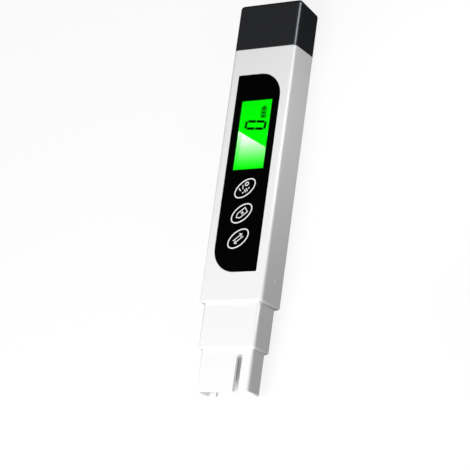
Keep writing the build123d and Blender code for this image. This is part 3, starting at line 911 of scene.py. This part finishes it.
def display_glass():
    """Soda-lime glass plates: nearly clear, faintly green at their cut edges."""
    haze_size = 3 * MM
    material, tree, shader = new_material(
        "soda-lime glass",
        **{"Transmission Weight": 1.0, "IOR": 1.52, "Base Color": linear("#E8FFEF")},
    )
    place = add_node(tree, "ShaderNodeTexCoord").outputs["Object"]
    haze = add_node(
        tree, "ShaderNodeTexNoise", {"Scale": 1 / haze_size}, {"Vector": place}
    ).outputs["Fac"]
    gloss = add_node(
        tree, "ShaderNodeMapRange", {"To Min": 0.0, "To Max": 0.03}, {"Value": haze}
    )
    tree.links.new(gloss.outputs["Result"], shader.inputs["Roughness"])
    return material


# The studio. A lamp's entry gives its place, the point that it looks at and its side, in metres.

KEY_LAMP = ((-0.08, -0.25, 0.33), (0, -0.06, 0), 0.25)
EDGE_LAMP = ((0.45, 0.24, 0.32), (0, 0.04, 0), 0.3)
MOUTH_LAMP = ((0, -0.15, 0.01), (0, 0, 0.007), 0.02)
SIDE_LAMP_OUT, SIDE_LAMP_UP, SIDE_LAMP_SIZE = 0.1, 0.04, 0.06
# each side lamp's station along the pen and its share of the side power
SIDE_LAMPS = {"side lamp": (0.035, 0.95), "low side lamp": (-0.12, 0.5)}


def mirrored_point(camera, point, level, height):
    """Where a ray from the camera, mirrored in the level plane at a point, meets a given height.

    With B the camera's image under the plane and P the point, it is B + (P - B) k, where k is
    the height above B over the height of P above B.
    """
    below = Vector((camera.x, camera.y, 2 * level - camera.z))
    return below + (point - below) * ((height - below.z) / (point.z - below.z))


class PENMETER_OT_studio(bpy.types.Operator):
    """Sets the white floor, the soft lamps, the dark card and the camera"""

    bl_idname = "pen_meter.studio"
    bl_label = "Studio"

    def execute(self, context):
        settings = context.scene.pen_studio
        self.floor()
        self.sky(context.scene, settings)
        self.lamp("key lamp", settings.key_power, *KEY_LAMP)
        for name, (station, share) in SIDE_LAMPS.items():
            place, target = (SIDE_LAMP_OUT, station, SIDE_LAMP_UP), (0, station, 0)
            side = self.lamp(name, settings.side_power * share, place, target, SIDE_LAMP_SIZE)
            side.visible_glossy = False
        self.lamp("mouth lamp", settings.mouth_power, *MOUTH_LAMP)
        edge = self.lamp("edge lamp", settings.edge_power, *EDGE_LAMP)
        edge.visible_diffuse = False
        edge.data.color = COOL_LIGHT
        camera = self.camera(context.scene, settings)
        self.dark_card(camera)
        self.window_glare(settings, camera)
        context.scene.view_settings.view_transform = "Standard"
        return {"FINISHED"}

    def floor(self):
        """A pale matt floor, which the camera sees near white with the shadow kept."""
        half_floor, ground, card_start, glow_share = 3.0, -0.02 * MM, 12 * MM, 0.86
        # White seamless paper: flat and bright, without any shine.
        material, tree, shader = new_material(
            "white seamless paper", Roughness=0.9, **{"Specular IOR Level": 0.1}
        )
        # the paper darkens away from the middle line, as if a card lay there that only the pen sees
        place = add_node(tree, "ShaderNodeTexCoord").outputs["Object"]
        across = add_node(tree, "ShaderNodeSeparateXYZ", links={"Vector": place}).outputs["X"]
        away = add_node(tree, "ShaderNodeMath", {"operation": "ABSOLUTE"}, {0: across})
        beside = add_node(
            tree, "ShaderNodeMapRange", {"From Min": 0.0, "From Max": card_start},
            {"Value": away.outputs["Value"]},
        )
        glow = add_node(tree, "ShaderNodeEmission", {"Color": (*WHITE_LIGHT, 1), "Strength": 1.0})
        rays = add_node(tree, "ShaderNodeLightPath").outputs
        seen = add_node(
            tree, "ShaderNodeMath", {"operation": "MAXIMUM"},
            {0: rays["Is Camera Ray"], 1: rays["Is Transmission Ray"]},
        )
        hidden = add_node(
            tree, "ShaderNodeMath", {"operation": "SUBTRACT", "use_clamp": True},
            {0: beside.outputs["Result"], 1: seen.outputs["Value"]},
        )
        tint = add_node(
            tree, "ShaderNodeMix",
            {"data_type": "RGBA", 6: linear("#F4F4F4"), 7: linear("#101010")},
            {0: hidden.outputs["Value"]},
        )
        tree.links.new(tint.outputs[2], shader.inputs["Base Color"])
        share = add_node(
            tree, "ShaderNodeMath", {"operation": "MULTIPLY", 1: glow_share},
            {0: seen.outputs["Value"]},
        )
        paper, light = shader.outputs["BSDF"], glow.outputs["Emission"]
        mixed = add_node(
            tree, "ShaderNodeMixShader", links={0: share.outputs["Value"], 1: paper, 2: light}
        )
        output = next(node for node in tree.nodes if node.type == "OUTPUT_MATERIAL")
        tree.links.new(mixed.outputs["Shader"], output.inputs["Surface"])
        new_card("floor", (0, 0, ground), half_floor, material)

    def sky(self, scene, settings):
        """An even sky, which the camera sees as white and mirrors see almost black."""
        mirrored_level, seen_level = 0.05, 1.0
        world = bpy.data.worlds.new("studio sky")
        scene.world = world
        world.use_nodes = True
        tree = world.node_tree
        tree.nodes.clear()
        rays = add_node(tree, "ShaderNodeLightPath").outputs
        level = add_node(
            tree, "ShaderNodeMapRange", {"To Min": settings.sky_level, "To Max": mirrored_level},
            {"Value": rays["Is Glossy Ray"]},
        )
        level = add_node(
            tree, "ShaderNodeMapRange", {"To Max": seen_level},
            {"Value": rays["Is Camera Ray"], "To Min": level.outputs["Result"]},
        )
        back = add_node(
            tree, "ShaderNodeBackground", {"Color": (*WHITE_LIGHT, 1)},
            {"Strength": level.outputs["Result"]},
        )
        add_node(tree, "ShaderNodeOutputWorld", links={"Surface": back.outputs["Background"]})

    def lamp(self, name, power, place, target, size):
        """A square soft lamp that looks at a point."""
        data = bpy.data.lights.new(name, "AREA")
        data.energy, data.size = power, size
        lamp = bpy.data.objects.new(name, data)
        lamp.location = place
        lamp.rotation_euler = (Vector(target) - Vector(place)).to_track_quat("-Z", "Y").to_euler()
        lamp.visible_camera = False
        bpy.context.scene.collection.objects.link(lamp)
        return lamp

    def camera(self, scene, settings):
        """The camera at the photograph's place, turned by its rotation vector."""
        frame_width, nearest, farthest = 36.0, 0.01, 20.0
        data = bpy.data.cameras.new("camera")
        data.lens, data.sensor_width = settings.camera_lens, frame_width
        data.clip_start, data.clip_end = nearest, farthest
        camera = bpy.data.objects.new("camera", data)
        turn = Vector(settings.camera_turn)
        camera.matrix_world = Matrix.Translation(settings.camera_place) @ Matrix.Rotation(
            turn.length, 4, turn.normalized()
        )
        scene.collection.objects.link(camera)
        scene.camera = camera
        return camera

    def dark_card(self, camera):
        """A dark card that only mirrors see, where the camera looks by way of the pen's front."""
        height, half_card = 0.6, 0.3
        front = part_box("graphic_overlay")[1].z
        middle = mirrored_point(camera.location, Vector((0, 0, front)), front, height)
        # Black flock: takes all light, so that a mirror shows nothing in its place.
        flock = new_material(
            "black flock",
            Roughness=1.0,
            **{"Base Color": linear("#000000"), "Specular IOR Level": 0.0},
        )[0]
        card = new_card("dark card", middle, half_card, flock, upwards=False)
        card.visible_camera = card.visible_diffuse = card.visible_shadow = False

    def window_glare(self, settings, camera):
        """A lamp that only the window mirrors, with an edge that slants across the glass.

        The camera, mirrored in the window's face, throws a point of that face to the lamp's
        height; lengths grow by one factor there, so the lamp's edge keeps its slant.
        """
        height, depth, margin, fade_power = 0.3, 0.06, 0.02, 2.3
        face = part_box("display_window")[1].z
        x0, y0, x1, y1 = settings.glare_edge
        heights = ((0, y) for y in settings.glare_fade)
        spots = plan_middle("display_window") + ((x0, y0), (x1, y1), *heights)
        left, right, gone, full = (
            mirrored_point(camera.location, Vector((*spot, face)), face, height) for spot in spots
        )
        run = (right - left).normalized()
        inward = Vector((run.y, -run.x, 0))
        middle = (left + right) / 2 + inward * depth / 2
        data = bpy.data.lights.new("window glare", "AREA")
        data.shape = "RECTANGLE"
        data.size, data.size_y = (right - left).length + 2 * margin, depth
        data.energy = settings.glare_level * pi * data.size * data.size_y
        data.use_nodes = True
        tree = data.node_tree
        tree.nodes.clear()
        place = add_node(tree, "ShaderNodeNewGeometry").outputs["Position"]
        along = add_node(tree, "ShaderNodeSeparateXYZ", links={"Vector": place}).outputs["Y"]
        fade = add_node(
            tree, "ShaderNodeMapRange", {"From Min": gone.y, "From Max": full.y}, {"Value": along}
        )
        fade = add_node(
            tree, "ShaderNodeMath", {"operation": "POWER", 1: fade_power},
            {0: fade.outputs["Result"]},
        )
        glow = add_node(
            tree, "ShaderNodeEmission", {"Color": (*WHITE_LIGHT, 1)},
            {"Strength": fade.outputs["Value"]},
        )
        add_node(tree, "ShaderNodeOutputLight", links={"Surface": glow.outputs["Emission"]})
        lamp = bpy.data.objects.new("window glare", data)
        lamp.location = middle
        lamp.rotation_euler = (0, 0, np.arctan2(run.y, run.x))
        lamp.visible_camera = False
        bpy.context.scene.collection.objects.link(lamp)
        lit_by_it = bpy.data.collections.new("mirrors the glare")
        lit_by_it.objects.link(nodes["display_window"])
        lamp.light_linking.receiver_collection = lit_by_it


# The panel in the sidebar, and the run


class PENMETER_PT_looks(bpy.types.Panel):
    """Lists the steps and their settings"""

    bl_idname = "PENMETER_PT_looks"
    bl_label = "Pen meter"
    bl_space_type = "VIEW_3D"
    bl_region_type = "UI"
    bl_category = "Pen meter"

    def draw(self, context):
        for step in STEPS:
            self.layout.operator(step.bl_idname)
        for name, group in SETTINGS.items():
            box = self.layout.box()
            for prop in group.__annotations__:
                box.prop(getattr(context.scene, name), prop)


SETTINGS = {
    "pen_mouldings": MouldingSettings,
    "pen_display": DisplaySettings,
    "pen_keys": KeySettings,
    "pen_studio": StudioSettings,
}
STEPS = (
    PENMETER_OT_mouldings,
    PENMETER_OT_panel,
    PENMETER_OT_display,
    PENMETER_OT_keys,
    PENMETER_OT_insides,
    PENMETER_OT_studio,
)


def register():
    """Registers the settings, the steps and the panel."""
    for group in SETTINGS.values():
        bpy.utils.register_class(group)
    for name, group in SETTINGS.items():
        setattr(bpy.types.Scene, name, PointerProperty(type=group))
    for step in (*STEPS, PENMETER_PT_looks):
        bpy.utils.register_class(step)


def unregister():
    """Takes the panel, the steps and the settings out again."""
    for step in (PENMETER_PT_looks, *reversed(STEPS)):
        bpy.utils.unregister_class(step)
    for name, group in SETTINGS.items():
        delattr(bpy.types.Scene, name)
        bpy.utils.unregister_class(group)


def main():
    """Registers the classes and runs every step."""
    register()
    bpy.ops.pen_meter.mouldings()
    bpy.ops.pen_meter.panel()
    bpy.ops.pen_meter.display()
    bpy.ops.pen_meter.keys()
    bpy.ops.pen_meter.insides()
    bpy.ops.pen_meter.studio()


if __name__ == "__main__":
    main()
